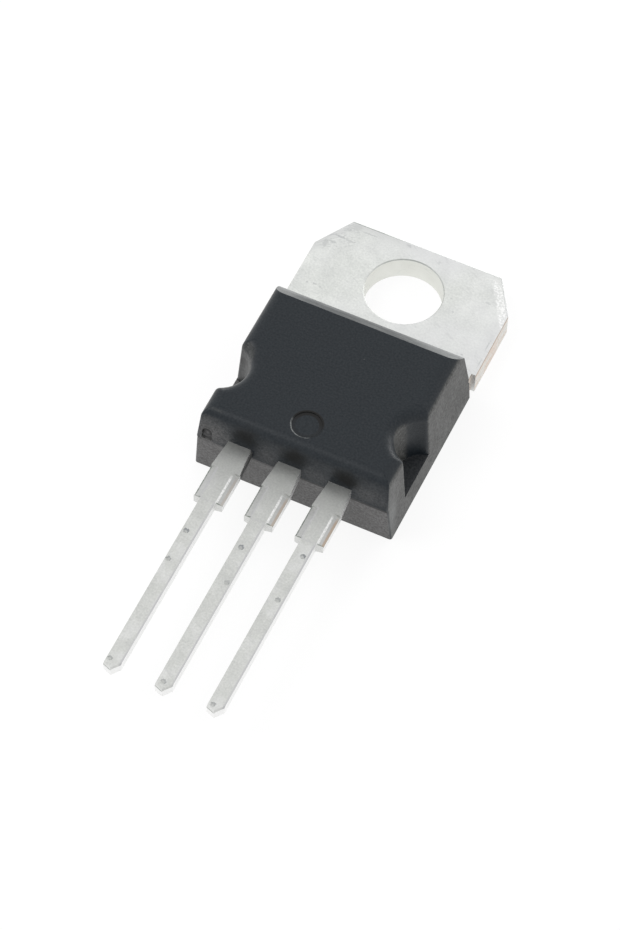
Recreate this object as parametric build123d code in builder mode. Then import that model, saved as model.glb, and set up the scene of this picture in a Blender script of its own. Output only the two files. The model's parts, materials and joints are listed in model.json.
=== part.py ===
from build123d import *
import os
from math import hypot, radians, tan

# Power MOSFET in a three-lead plated-tab package, mm.
# Origin: centre of the mounting hole on the back face. +X across the package, +Y towards the free end
# of the tab, +Z out of the black front face. The part lies on its back face, z = 0.

# plate: the tab with its mounting hole, and the header under the body
plate_width = 10.17
plate_thick = 1.28
tab_end = 2.79  # hole centre to the free end of the tab
hole_to_body = 3.46  # hole centre to the body
hole_dia = 3.82
clip_across = 1.17  # clipped far corners of the tab
clip_along = 1.95
clip_round = 0.12
shoulder_gap = 0.43  # the tab's full width ends this far before the body
shoulder_step = 0.215  # and steps in by this much each side
edge_roll = 0.04  # rolled front edge left by the stamping punch
rim_break = 0.05  # broken front edge of the hole
header_step = 0.985  # the header's sides stand in from the tab's
header_stop = 1.75  # the header ends this far inside the body's lead end
grip_inset = 0.30  # undercut round the back of the header that the body grips
grip_height = 0.35
groove_in = 1.14  # cross groove in the header that keeps moisture out, in from the tab
groove_width = 0.40
groove_depth = 0.20

# leads
pitch = 2.54
row_shift = 0.12  # the lead row stands this far left of the tab's centre line
lead_length = 13.23  # body to tip
lead_thick = 0.50
lead_top = 3.00  # front face of the leads above the back face
neck_width = 1.15  # where a lead leaves the body
neck_length = 1.42  # taper from the neck to the wide part
wide_width = 1.43
wide_length = 1.86
narrow_width = 0.75
shoulder_slope = 0.06
tip_peak = 0.05  # the trimmed tip's ridge lies right of the lead's centre line
tip_back_left = 0.16  # how far the tip's corners stand back from its ridge
tip_back_right = 0.42
tip_break = 0.07
coin_width = 0.32  # sloped long edges of the wide part
coin_depth = 0.12
waist_radius = 0.14  # round bites in each neck that the body fills
waist_in = 0.50
dent_ball = 0.25  # shallow dents left by the test contacts
dent_depth = 0.04
gate_dents = ((-0.16, 5.19), (-0.22, 6.90), (-0.22, 12.72))  # off the centre line, out from the body
drain_dents = ((-0.07, 4.92), (0.17, 6.90), (-0.09, 12.78))
source_dents = ((0.11, 4.15), (0.09, 6.73), (-0.16, 12.88))
ramp_width = 1.70  # joint between the header and the centre lead
ramp_thick = 0.60
ramp_start = 0.10
ramp_run = 0.75
post_in = 0.65  # bonding posts of the outer leads, in from the body's lead end
post_depth = 0.85
post_round = 0.20
gate_post_out, gate_post_in = 1.56, 0.79  # either side of the lead's centre line
source_post_out, source_post_in = 1.66, 1.09

# moulded body
body_length = 9.19  # at the parting step
front_height = 4.40
body_shy = 0.045  # the body's back edges stand in from the tab's edges
side_draft = 4.2  # degrees, as all drafts here
top_draft = 11.6
end_draft_upper = 8.7
end_draft_lower = 4.2
bevel_back = 0.82  # bevel along the front's tab edge
bevel_drop = 0.75
parting_step = 0.05  # the upper half stands proud of the lower one
front_round = 0.60
corner_round = 0.13
notch_back = 3.23  # half-round side notches: centres in from the body's lead end
notch_outset = 0.16  # and outside its sides
notch_floor_radius = 1.28
notch_draft = 2.5
notch_round = 0.22  # their upright corners
header_gap = 0.45  # body between a notch and the header's matching bite
ring_back = 1.62  # shallow round mark of the ejector pin, in from the lead end
ring_radius = 0.72
ring_depth = 0.07
ring_break = 0.04
index_inset = 0.71  # small arched pocket beside the first lead, in from the body's left side
index_radius = 0.26
index_rise = 0.50
index_depth = 0.15
flash_length = 1.30  # thin mould flash along two facing lead edges
flash_width = 0.06
flash_thick = 0.40
void_radius = 0.12  # small moulding void at the body's right tab-side corner, level with the plate's front

# chip, its solder and its bond wires
chip_width = 4.60
chip_length = 3.70
chip_thick = 0.28
chip_in = 4.04  # chip's centre, in from the body's tab end
solder_thick = 0.05
solder_margin = 0.12
gate_wire_dia = 0.15
source_wire_dia = 0.38
foot_length = 0.45
foot_sink = 0.15  # share of a wire's diameter pressed flat at its feet
loop_height = 3.72  # top of the wires' centre lines
loop_rise = 1.20  # run over which a wire climbs from its foot on the chip
loop_fall = 0.90  # run over which it comes down to its foot on the post
loop_shoulder = 0.70  # share of the height gained in the first third of either run
gate_pad = (-1.75, -1.35)  # pads from the chip's centre
source_pads = ((0.35, -0.80), (1.45, 0.15))
gate_landing = -0.06  # landings on the posts, off the leads' centre lines
source_landings = (-0.39, 0.66)

# worked out from the above
half_plate = plate_width / 2
gate_x, drain_x, source_x = -pitch - row_shift, -row_shift, pitch - row_shift
half_body = half_plate - body_shy
body_top = -hole_to_body
shoulder_y = body_top + shoulder_gap
half_neck = half_plate - shoulder_step
body_end = body_top - body_length
header_width = plate_width - 2 * header_step
header_end = body_end + header_stop
groove_y = body_top - groove_in
wide_start = body_end - neck_length
wide_end = wide_start - wide_length
lead_tip = body_end - lead_length
lead_bottom = lead_top - lead_thick
ramp_foot = header_end - ramp_start
ramp_head = ramp_foot - ramp_run
post_far = body_end + post_in
post_near = post_far + post_depth
chip_y = body_top - chip_in
chip_back = plate_thick + solder_thick
chip_top = chip_back + chip_thick
notch_x = half_body + notch_outset
notch_y = body_end + notch_back
notch_depth = front_height - plate_thick
notch_front_radius = notch_floor_radius + notch_depth * tan(radians(notch_draft))
bite_radius = notch_floor_radius + header_gap
index_x = index_inset - half_body


def header_outline(inset, height):
    """Header in plan with its two round bites, all drawn in by inset."""
    length = body_top - header_end - inset
    with BuildSketch(Plane.XY.offset(height)) as outline:
        with Locations((0, body_top - length / 2)):
            Rectangle(header_width - 2 * inset, length)
        with Locations((-notch_x, notch_y), (notch_x, notch_y)):
            Circle(bite_radius + inset, mode=Mode.SUBTRACT)
    return outline.sketch


def lead_blade(centre, inner_end, dents):
    """One flat lead, from its inner end inside the body out to its trimmed tip."""
    neck, wide, narrow = neck_width / 2, wide_width / 2, narrow_width / 2
    with BuildPart() as blade:
        with BuildSketch(Plane.XY.offset(lead_bottom)):
            with BuildLine():
                Polyline(
                    (centre - neck, inner_end),
                    (centre - neck, body_end),
                    (centre - wide, wide_start),
                    (centre - wide, wide_end),
                    (centre - narrow, wide_end - shoulder_slope),
                    (centre - narrow, lead_tip + tip_back_left),
                    (centre + tip_peak, lead_tip),
                    (centre + narrow, lead_tip + tip_back_right),
                    (centre + narrow, wide_end - shoulder_slope),
                    (centre + wide, wide_end),
                    (centre + wide, wide_start),
                    (centre + neck, body_end),
                    (centre + neck, inner_end),
                    close=True,
                )
            make_face()
            with Locations((centre - neck, body_end + waist_in), (centre + neck, body_end + waist_in)):
                Circle(waist_radius, mode=Mode.SUBTRACT)
        extrude(amount=lead_thick)
        front = blade.faces().sort_by(Axis.Z)[-1]
        chamfer(front.edges().sort_by(Axis.Y)[:2], length=tip_break)
        # sloped long edges of the wide part
        with BuildSketch(Plane.XZ.offset(-wide_start)):
            for side in (-1, 1):
                edge = centre + side * wide
                with BuildLine():
                    Polyline(
                        (edge, lead_top),
                        (edge - side * coin_width, lead_top),
                        (edge, lead_top - coin_depth),
                        close=True,
                    )
                make_face()
        extrude(amount=wide_start - wide_end, mode=Mode.SUBTRACT)
        for across, out in dents:
            with Locations((centre + across, body_end - out, lead_top + dent_ball - dent_depth)):
                Sphere(dent_ball, mode=Mode.SUBTRACT)
    return blade.part


def bonding_post(left, right):
    """Flat post that widens an outer lead inside the body."""
    with BuildPart() as post:
        with BuildSketch(Plane.XY.offset(lead_bottom)):
            with Locations(((left + right) / 2, (post_near + post_far) / 2)):
                RectangleRounded(right - left, post_near - post_far, post_round)
        extrude(amount=lead_thick)
    return post.part


def bond_wire(pad, landing_x, diameter):
    """Round wire looped from a pad on the chip to a lead's post, with feet pressed flat on both."""
    pad_x, pad_y = pad[0], chip_y + pad[1]
    landing_y = (post_near + post_far) / 2
    run = Vector(landing_x - pad_x, landing_y - pad_y)
    reach = hypot(run.X, run.Y)
    sink = diameter * (0.5 - foot_sink)
    start, finish = chip_top + sink, lead_top + sink
    side_view = Plane(
        origin=(pad_x, pad_y, 0), x_dir=(run.X, run.Y, 0), z_dir=(run.Y, -run.X, 0)
    )
    with BuildPart() as wire:
        with BuildLine(side_view) as route:
            Polyline(
                (-foot_length / 2, start),
                (foot_length / 2, start),
                (foot_length / 2 + loop_rise / 3, start + loop_shoulder * (loop_height - start)),
                (foot_length / 2 + loop_rise, loop_height),
                (reach - foot_length / 2 - loop_fall, loop_height),
                (reach - foot_length / 2 - loop_fall / 3, finish + loop_shoulder * (loop_height - finish)),
                (reach - foot_length / 2, finish),
                (reach + foot_length / 2, finish),
            )
        with BuildSketch(Plane(origin=route.line @ 0, z_dir=route.line % 0)):
            Circle(diameter / 2)
        sweep(path=route.line, transition=Transition.RIGHT)
        below = 2 * diameter
        with Locations((pad_x, pad_y, chip_top - below / 2)):
            Box(2 * reach, 2 * reach, below, mode=Mode.SUBTRACT)
        with Locations((landing_x, post_near - reach / 2, lead_top - below / 2)):
            Box(2 * reach, reach, below, mode=Mode.SUBTRACT)
    return wire.part


def uprights(piece, near_y, far_y, low, high, least):
    """Upright edges of a piece within a stretch along Y and a range of heights, at least so tall."""
    edges = piece.edges().filter_by_position(Axis.Y, near_y, far_y).filter_by_position(Axis.Z, low, high)
    return edges.filter_by(lambda edge: edge.bounding_box().size.Z > least)


def save(piece, name):
    """Label a finished piece and write it as its own STEP file."""
    piece.part.label = name
    export_step(piece.part, f"parts/{name}.step")


os.makedirs("parts", exist_ok=True)

# tab, header and centre lead, stamped from one strip
with BuildPart() as heat_tab:
    with BuildSketch() as tab_outline:
        with BuildLine():
            Polyline(
                (half_plate - clip_across, tab_end),
                (half_plate, tab_end - clip_along),
                (half_plate, shoulder_y),
                (half_neck, shoulder_y),
                (half_neck, body_top),
                (-half_neck, body_top),
                (-half_neck, shoulder_y),
                (-half_plate, shoulder_y),
                (-half_plate, tab_end - clip_along),
                (-half_plate + clip_across, tab_end),
                close=True,
            )
        make_face()
        fillet(tab_outline.vertices().group_by(Axis.Y)[2:], radius=clip_round)
    extrude(amount=plate_thick)
    front = heat_tab.faces().sort_by(Axis.Z)[-1]
    fillet(front.edges().sort_by(Axis.Y)[1:], radius=edge_roll)
    Hole(hole_dia / 2)
    chamfer(
        heat_tab.faces().sort_by(Axis.Z)[-1].edges().filter_by(GeomType.CIRCLE).sort_by(Axis.Y)[:1],
        length=rim_break,
    )
    extrude(header_outline(grip_inset, 0), amount=grip_height)
    extrude(header_outline(0, grip_height), amount=plate_thick - grip_height)
    # cross groove, V-shaped
    with BuildSketch(Plane.YZ.offset(-half_plate)):
        with BuildLine():
            Polyline(
                (groove_y - groove_width / 2, plate_thick),
                (groove_y + groove_width / 2, plate_thick),
                (groove_y, plate_thick - groove_depth),
                close=True,
            )
        make_face()
    extrude(amount=plate_width, mode=Mode.SUBTRACT)
    # ramp up from the header to the lead row
    with BuildSketch(Plane.YZ.offset(-ramp_width / 2)):
        with BuildLine():
            Polyline(
                (header_end + ramp_thick, plate_thick),
                (ramp_foot + ramp_thick / 2, plate_thick),
                (ramp_head + ramp_thick / 2, lead_top),
                (ramp_head - ramp_thick, lead_top),
                (ramp_head - ramp_thick, lead_bottom),
                (ramp_head - ramp_thick / 4, lead_bottom),
                (ramp_foot - ramp_thick / 4, plate_thick - ramp_thick),
                (header_end + ramp_thick, plate_thick - ramp_thick),
                close=True,
            )
        make_face()
    extrude(amount=ramp_width)
    add(lead_blade(drain_x, ramp_head, drain_dents))
save(heat_tab, "heat_tab")

with BuildPart() as gate_lead:
    add(lead_blade(gate_x, post_far + post_round, gate_dents))
    add(bonding_post(gate_x - gate_post_out, gate_x + gate_post_in))
save(gate_lead, "gate_lead")

with BuildPart() as source_lead:
    add(lead_blade(source_x, post_far + post_round, source_dents))
    add(bonding_post(source_x - source_post_in, source_x + source_post_out))
save(source_lead, "source_lead")

with BuildPart() as die_attach:
    with BuildSketch(Plane.XY.offset(plate_thick)):
        with Locations((0, chip_y)):
            RectangleRounded(
                chip_width + 2 * solder_margin, chip_length + 2 * solder_margin, solder_margin
            )
    extrude(amount=solder_thick)
save(die_attach, "die_attach")

with BuildPart() as silicon_die:
    with BuildSketch(Plane.XY.offset(chip_back)):
        with Locations((0, chip_y)):
            Rectangle(chip_width, chip_length)
    extrude(amount=chip_thick)
save(silicon_die, "silicon_die")

with BuildPart() as gate_wire:
    add(bond_wire(gate_pad, gate_x + gate_landing, gate_wire_dia))
save(gate_wire, "gate_wire")

with BuildPart() as source_wire_a:
    add(bond_wire(source_pads[0], source_x + source_landings[0], source_wire_dia))
save(source_wire_a, "source_wire_a")

with BuildPart() as source_wire_b:
    add(bond_wire(source_pads[1], source_x + source_landings[1], source_wire_dia))
save(source_wire_b, "source_wire_b")

# body: the side view and the view from the leads, each with its drafts and rounds, crossed with each other
top_lean = tan(radians(top_draft))
end_lean = tan(radians(end_draft_upper))
end_lean_low = tan(radians(end_draft_lower))
side_lean = tan(radians(side_draft))
bevel_base = front_height - bevel_drop
bevel_edge = body_top - (bevel_base - plate_thick) * top_lean

with BuildPart() as mould_body:
    with BuildSketch(Plane.YZ.offset(-2 * half_body)):
        with BuildLine():
            Polyline(
                (body_top, 0),
                (body_top, plate_thick),
                (bevel_edge, bevel_base),
                (bevel_edge - bevel_back, front_height),
                (body_end + (front_height - lead_bottom) * end_lean, front_height),
                (body_end, lead_bottom),
                (body_end + parting_step, lead_bottom),
                (body_end + parting_step + lead_bottom * end_lean_low, 0),
                close=True,
            )
        make_face()
    extrude(amount=4 * half_body)
    with BuildSketch(Plane.XZ.offset(-body_top)):
        with BuildLine():
            Polyline(
                (-half_body, 0),
                (half_body, 0),
                (half_body - front_height * side_lean, front_height),
                (front_height * side_lean - half_body, front_height),
                close=True,
            )
        make_face()
    extrude(amount=2 * (body_top - body_end), mode=Mode.INTERSECT)
    # side notches, wider towards the front
    with Locations(
        (-notch_x, notch_y, plate_thick + notch_depth / 2),
        (notch_x, notch_y, plate_thick + notch_depth / 2),
    ):
        Cone(notch_floor_radius, notch_front_radius, notch_depth, mode=Mode.SUBTRACT)
    for near_y, far_y in (
        (notch_y - 2 * notch_floor_radius, notch_y - notch_floor_radius / 2),
        (notch_y + notch_floor_radius / 2, notch_y + 2 * notch_floor_radius),
    ):
        fillet(
            uprights(mould_body, near_y, far_y, plate_thick, front_height, notch_depth / 2),
            radius=notch_round,
        )
    # one rounding runs round the whole front, notches too, apart from the bevelled edge
    front = mould_body.faces().sort_by(Axis.Z)[-1]
    fillet(front.edges().sort_by(Axis.Y)[:-1], radius=front_round)
    for low, high in ((0, lead_bottom), (lead_bottom, front_height)):
        fillet(
            uprights(mould_body, body_end, body_end + front_round, low, high, front_round / 2),
            radius=corner_round,
        )
    # marks of the mould: ejector pin, index pocket, a small void at one corner
    with Locations((0, body_end + ring_back, front_height)):
        Cylinder(ring_radius, 2 * ring_depth, mode=Mode.SUBTRACT)
    chamfer(mould_body.faces().sort_by(Axis.Z)[-1].inner_wires().edges(), length=ring_break)
    with BuildSketch(Plane.XZ.offset(-body_end - index_depth)):
        with Locations((index_x, lead_bottom + index_rise)):
            Circle(index_radius)
        with Locations((index_x, lead_bottom + index_rise / 2)):
            Rectangle(2 * index_radius, index_rise)
    extrude(amount=2 * index_depth, mode=Mode.SUBTRACT)
    with Locations((half_body - plate_thick * side_lean, body_top, plate_thick)):
        Sphere(void_radius, mode=Mode.SUBTRACT)
    # mould flash along the facing edges of the gate lead and the centre lead
    for centre, side in ((gate_x, 1), (drain_x, -1)):
        with BuildSketch(Plane.XY.offset(lead_bottom)):
            with BuildLine():
                Polyline(
                    (centre, body_end + corner_round),
                    (centre + side * (neck_width / 2 + flash_width), body_end + corner_round),
                    (centre + side * wide_width / 2, body_end - flash_length),
                    (centre, body_end - flash_length),
                    close=True,
                )
            make_face()
        extrude(amount=flash_thick)
    # the body fills every gap round what it holds
    for inner in (
        heat_tab, gate_lead, source_lead, die_attach, silicon_die, gate_wire, source_wire_a, source_wire_b
    ):
        add(inner.part, mode=Mode.SUBTRACT)
save(mould_body, "mould_body")
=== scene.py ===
import json
from math import cos, hypot, pi, radians, sin
import bpy
from mathutils import Matrix, Vector


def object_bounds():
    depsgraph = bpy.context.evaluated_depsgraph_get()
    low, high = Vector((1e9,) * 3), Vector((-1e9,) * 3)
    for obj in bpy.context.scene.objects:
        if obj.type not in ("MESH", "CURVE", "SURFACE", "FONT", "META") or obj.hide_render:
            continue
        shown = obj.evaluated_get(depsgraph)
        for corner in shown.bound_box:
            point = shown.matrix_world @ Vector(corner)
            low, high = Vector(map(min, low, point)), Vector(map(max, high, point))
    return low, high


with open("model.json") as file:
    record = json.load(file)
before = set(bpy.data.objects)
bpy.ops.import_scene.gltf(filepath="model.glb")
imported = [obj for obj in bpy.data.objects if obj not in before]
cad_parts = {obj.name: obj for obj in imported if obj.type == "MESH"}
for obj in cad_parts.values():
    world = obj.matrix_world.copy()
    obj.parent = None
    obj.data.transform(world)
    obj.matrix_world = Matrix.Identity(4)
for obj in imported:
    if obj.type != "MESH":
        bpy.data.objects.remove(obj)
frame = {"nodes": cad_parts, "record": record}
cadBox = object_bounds()
nodes = frame["nodes"]
scene = bpy.context.scene
print("frame loaded:", len(nodes), "solids")


# sizes in millimetres that the finishes follow, most of them the frame's own
def inMillimetres(corners):
    return [[round(value * 1000, 4) for value in corner] for corner in corners]


lowest, highest = inMillimetres(cadBox)
mounts = {mount["name"]: mount for mount in frame["record"]["mounts"]}
leadRow = mounts["drain_lead_end"]["pos_m"][0] * 1000
sizes = {
    "halfWidth": highest[0], "tabEnd": highest[1], "frontZ": highest[2], "tipY": lowest[1],
    "leadTop": 3.0,  # the leads' front faces
    "leadRow": leadRow,
    "pitch": mounts["source_lead_end"]["pos_m"][0] * 1000 - leadRow,
    "holeRadius": mounts["mounting_hole"]["dims"]["r_mm"],
    "leadEndY": -12.65,  # the body's lead-end wall; the body's box reaches on to the end of its flash
}
print("sizes in mm:", sizes)


# helpers for node trees
def addNode(tree, kind, **settings):
    node = tree.nodes.new(kind)
    for name, value in settings.items():
        setattr(node, name, value)
    return node


def feed(tree, socket, value):
    # a socket is linked, anything else is set as the input's own value
    if isinstance(value, bpy.types.NodeSocket):
        tree.links.new(value, socket)
    elif value is not None:
        socket.default_value = value


def calc(tree, operation, *values, clamp=False):
    node = addNode(tree, "ShaderNodeMath", operation=operation, use_clamp=clamp)
    for socket, value in zip(node.inputs, values):
        feed(tree, socket, value)
    return node.outputs[0]


def times(tree, product, *others):
    # masks and strengths multiplied together
    for other in others:
        product = calc(tree, "MULTIPLY", product, other)
    return product


def diagonal(tree, first, second):
    # the distance that two offsets at right angles make
    squares = [calc(tree, "POWER", offset, 2.0) for offset in (first, second)]
    return calc(tree, "SQRT", calc(tree, "ADD", *squares))


def vectorCalc(tree, operation, first, second=None):
    node = addNode(tree, "ShaderNodeVectorMath", operation=operation)
    feed(tree, node.inputs[0], first)
    feed(tree, node.inputs[1], second)
    return node.outputs["Value" if operation in ("LENGTH", "DOT_PRODUCT") else "Vector"]


def stretch(tree, value, low, high, toLow=0.0, toHigh=1.0, smooth=True):
    # low..high becomes toLow..toHigh, held beyond both ends; low may be the larger
    node = addNode(tree, "ShaderNodeMapRange", interpolation_type="SMOOTHSTEP" if smooth else "LINEAR")
    names = ("Value", "From Min", "From Max", "To Min", "To Max")
    for name, number in zip(names, (value, low, high, toLow, toHigh)):
        feed(tree, node.inputs[name], number)
    return node.outputs["Result"]


def mixColour(tree, factor, first, second):
    node = addNode(tree, "ShaderNodeMix", data_type="RGBA")
    feed(tree, node.inputs[0], factor)
    feed(tree, node.inputs[6], first)
    feed(tree, node.inputs[7], second)
    return node.outputs[2]


def paint(tree, colour, tone, *masks):
    # lays a tone over the colour where every mask is high
    return mixColour(tree, times(tree, *masks), colour, tone)


def noise(tree, point, scale, detail=2.0, roughness=0.5, distortion=0.0):
    node = addNode(tree, "ShaderNodeTexNoise")
    names = ("Vector", "Scale", "Detail", "Roughness", "Distortion")
    for name, value in zip(names, (point, scale, detail, roughness, distortion)):
        feed(tree, node.inputs[name], value)
    return node.outputs["Fac"]


def makeGroup(name, inputs, outputs):
    # a shader node group with its own sockets; returns the tree with its input and output nodes
    group = bpy.data.node_groups.new(name, "ShaderNodeTree")
    for title, kind, value in inputs:
        socket = group.interface.new_socket(title, in_out="INPUT", socket_type="NodeSocket" + kind)
        if value is not None:
            socket.default_value = value
    for title, kind in outputs:
        group.interface.new_socket(title, in_out="OUTPUT", socket_type="NodeSocket" + kind)
    return group, addNode(group, "NodeGroupInput"), addNode(group, "NodeGroupOutput")


def place(tree, group, **values):
    node = addNode(tree, "ShaderNodeGroup", node_tree=group)
    for name, value in values.items():
        feed(tree, node.inputs[name], value)
    return node


# effects shared by the finishes, lengths in millimetres
def buildSpaceGroup():
    # the part's own coordinates in millimetres, and which way the surface faces
    outputs = [("Point", "Vector")]
    outputs += [(name, "Float") for name in ("X", "Y", "Z", "FaceX", "FaceY", "FaceZ")]
    group, _, out = makeGroup("partSpace", [], outputs)
    coords = addNode(group, "ShaderNodeTexCoord")
    scaled = addNode(group, "ShaderNodeVectorMath", operation="SCALE")
    feed(group, scaled.inputs[0], coords.outputs["Object"])
    scaled.inputs["Scale"].default_value = 1000.0
    feed(group, out.inputs["Point"], scaled.outputs["Vector"])
    for source, title in ((scaled.outputs["Vector"], ""), (coords.outputs["Normal"], "Face")):
        parts = addNode(group, "ShaderNodeSeparateXYZ")
        feed(group, parts.inputs[0], source)
        for socket, axis in zip(parts.outputs, "XYZ"):
            feed(group, out.inputs[title + axis], socket)
    return group


def buildGrainGroup():
    # even mottling round 0.5, Size across
    inputs = [("Point", "Vector", None), ("Size", "Float", 0.1)]
    inputs += [("Detail", "Float", 2.0), ("Contrast", "Float", 1.0)]
    group, ins, out = makeGroup("grain", inputs, [("Value", "Float")])
    fineness = calc(group, "DIVIDE", 1.0, ins.outputs["Size"])
    pattern = noise(group, ins.outputs["Point"], fineness, ins.outputs["Detail"])
    centred = calc(group, "SUBTRACT", pattern, 0.5)
    feed(group, out.inputs["Value"], calc(group, "MULTIPLY_ADD", centred, ins.outputs["Contrast"], 0.5))
    return group


def buildBandGroup():
    # 1 between Low and High, falling off over Soft outside them
    inputs = [("Value", "Float", 0.0), ("Low", "Float", 0.0), ("High", "Float", 1.0), ("Soft", "Float", 0.1)]
    group, ins, out = makeGroup("band", inputs, [("Mask", "Float")])
    value, low, high, soft = (ins.outputs[name] for name in ("Value", "Low", "High", "Soft"))
    rise = stretch(group, value, calc(group, "SUBTRACT", low, soft), low)
    fall = stretch(group, value, high, calc(group, "ADD", high, soft), 1.0, 0.0)
    feed(group, out.inputs["Mask"], times(group, rise, fall))
    return group


def buildSpotGroup():
    # one soft-edged patch with a ragged outline, on whatever surface passes through it
    inputs = [("Point", "Vector", None), ("Centre", "Vector", None), ("Reach", "Vector", (1, 1, 1))]
    inputs += [("Soft", "Float", 0.4), ("Ragged", "Float", 0.3), ("Size", "Float", 0.2)]
    group, ins, out = makeGroup("spot", inputs, [("Mask", "Float")])
    offset = vectorCalc(group, "SUBTRACT", ins.outputs["Point"], ins.outputs["Centre"])
    distance = vectorCalc(group, "LENGTH", vectorCalc(group, "DIVIDE", offset, ins.outputs["Reach"]))
    pattern = noise(group, ins.outputs["Point"], calc(group, "DIVIDE", 1.0, ins.outputs["Size"]), 3.0)
    wobble = times(group, calc(group, "SUBTRACT", pattern, 0.5), 2.0)
    ragged = calc(group, "MULTIPLY_ADD", wobble, ins.outputs["Ragged"], distance)
    core = calc(group, "SUBTRACT", 1.0, ins.outputs["Soft"])
    feed(group, out.inputs["Mask"], stretch(group, ragged, 1.0, core))
    return group


def buildScratchGroup():
    # long thin lines that run along one direction, broken into patches
    inputs = [("Point", "Vector", None), ("Turn", "Vector", (0, 0, 0)), ("Spacing", "Float", 0.5)]
    inputs += [("Length", "Float", 4.0), ("Width", "Float", 0.05), ("Share", "Float", 0.5)]
    group, ins, out = makeGroup("scratches", inputs, [("Mask", "Float")])
    turned = addNode(group, "ShaderNodeVectorRotate", rotation_type="EULER_XYZ")
    feed(group, turned.inputs["Vector"], ins.outputs["Point"])
    feed(group, turned.inputs["Rotation"], ins.outputs["Turn"])
    squeeze = addNode(group, "ShaderNodeCombineXYZ")
    feed(group, squeeze.inputs["X"], calc(group, "DIVIDE", 1.0, ins.outputs["Length"]))
    feed(group, squeeze.inputs["Y"], 1.0)
    feed(group, squeeze.inputs["Z"], 1.0)
    drawnOut = vectorCalc(group, "MULTIPLY", turned.outputs["Vector"], squeeze.outputs["Vector"])
    pattern = noise(group, drawnOut, calc(group, "DIVIDE", 1.0, ins.outputs["Spacing"]), 1.0, 0.5, 0.3)
    nearLine = calc(group, "ABSOLUTE", calc(group, "SUBTRACT", pattern, 0.5))
    line = stretch(group, nearLine, ins.outputs["Width"], 0.0)
    patches = noise(group, ins.outputs["Point"], calc(group, "DIVIDE", 0.5, ins.outputs["Spacing"]), 1.0)
    edge = calc(group, "SUBTRACT", 0.75, times(group, ins.outputs["Share"], 0.5))
    kept = stretch(group, patches, edge, calc(group, "ADD", edge, 0.08))
    feed(group, out.inputs["Mask"], times(group, line, kept))
    return group


def buildSpeckGroup():
    # scattered small dots, one to a cell, of which a share is kept
    inputs = [("Point", "Vector", None), ("Spacing", "Float", 0.5)]
    inputs += [("Radius", "Float", 0.05), ("Share", "Float", 0.3)]
    group, ins, out = makeGroup("specks", inputs, [("Mask", "Float")])
    cells = addNode(group, "ShaderNodeTexVoronoi")
    feed(group, cells.inputs["Vector"], ins.outputs["Point"])
    feed(group, cells.inputs["Scale"], calc(group, "DIVIDE", 1.0, ins.outputs["Spacing"]))
    radius = calc(group, "DIVIDE", ins.outputs["Radius"], ins.outputs["Spacing"])
    dot = stretch(group, cells.outputs["Distance"], radius, times(group, radius, 0.5))
    chance = addNode(group, "ShaderNodeSeparateXYZ")
    feed(group, chance.inputs[0], cells.outputs["Color"])
    kept = calc(group, "LESS_THAN", chance.outputs[0], ins.outputs["Share"])
    feed(group, out.inputs["Mask"], times(group, dot, kept))
    return group


def buildEdgeGroup():
    # 1 along sharp edges, broken up by noise
    inputs = [("Point", "Vector", None), ("Breakup", "Float", 0.3), ("Amount", "Float", 1.0)]
    group, ins, out = makeGroup("edgeWear", inputs, [("Mask", "Float")])
    rounded = addNode(group, "ShaderNodeBevel", samples=4)
    rounded.inputs["Radius"].default_value = 0.00006
    plain = addNode(group, "ShaderNodeNewGeometry")
    match = vectorCalc(group, "DOT_PRODUCT", rounded.outputs["Normal"], plain.outputs["Normal"])
    pattern = noise(group, ins.outputs["Point"], calc(group, "DIVIDE", 1.0, ins.outputs["Breakup"]), 3.0)
    broken = times(group, stretch(group, match, 0.995, 0.90), stretch(group, pattern, 0.35, 0.6))
    feed(group, out.inputs["Mask"], calc(group, "MULTIPLY", broken, ins.outputs["Amount"], clamp=True))
    return group


partSpace = buildSpaceGroup()
grain = buildGrainGroup()
band = buildBandGroup()
spot = buildSpotGroup()
scratches = buildScratchGroup()
specks = buildSpeckGroup()
edgeWear = buildEdgeGroup()
print("shared effects built")


# one placing of an effect each, returning its mask or value
def mottled(tree, point, size, detail, contrast):
    return place(tree, grain, Point=point, Size=size, Detail=detail, Contrast=contrast).outputs["Value"]


def within(tree, value, low, high, soft):
    return place(tree, band, Value=value, Low=low, High=high, Soft=soft).outputs["Mask"]


def patch(tree, point, centre, reach, soft, ragged, size):
    node = place(tree, spot, Point=point, Centre=centre, Reach=reach, Soft=soft, Ragged=ragged, Size=size)
    return node.outputs["Mask"]


def scored(tree, point, spacing, length, width, share, turn=0):
    # turn in degrees about Z
    node = place(tree, scratches, Point=point, Spacing=spacing, Length=length, Width=width, Share=share,
                 Turn=(0, 0, radians(turn)))
    return node.outputs["Mask"]


def newFinish(name, shine):
    # an empty material: its tree, its Principled shader, and the part's space
    material = bpy.data.materials.new(name)
    material.use_nodes = True
    tree = material.node_tree
    shader = tree.nodes["Principled BSDF"]
    for title, value in shine.items():
        shader.inputs[title].default_value = value
    return material, tree, shader, place(tree, partSpace)


def finishBump(tree, shader, height, strength, depth):
    bump = addNode(tree, "ShaderNodeBump")
    bump.inputs["Strength"].default_value = strength
    bump.inputs["Distance"].default_value = depth
    feed(tree, bump.inputs["Height"], height)
    feed(tree, shader.inputs["Normal"], bump.outputs["Normal"])


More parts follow.
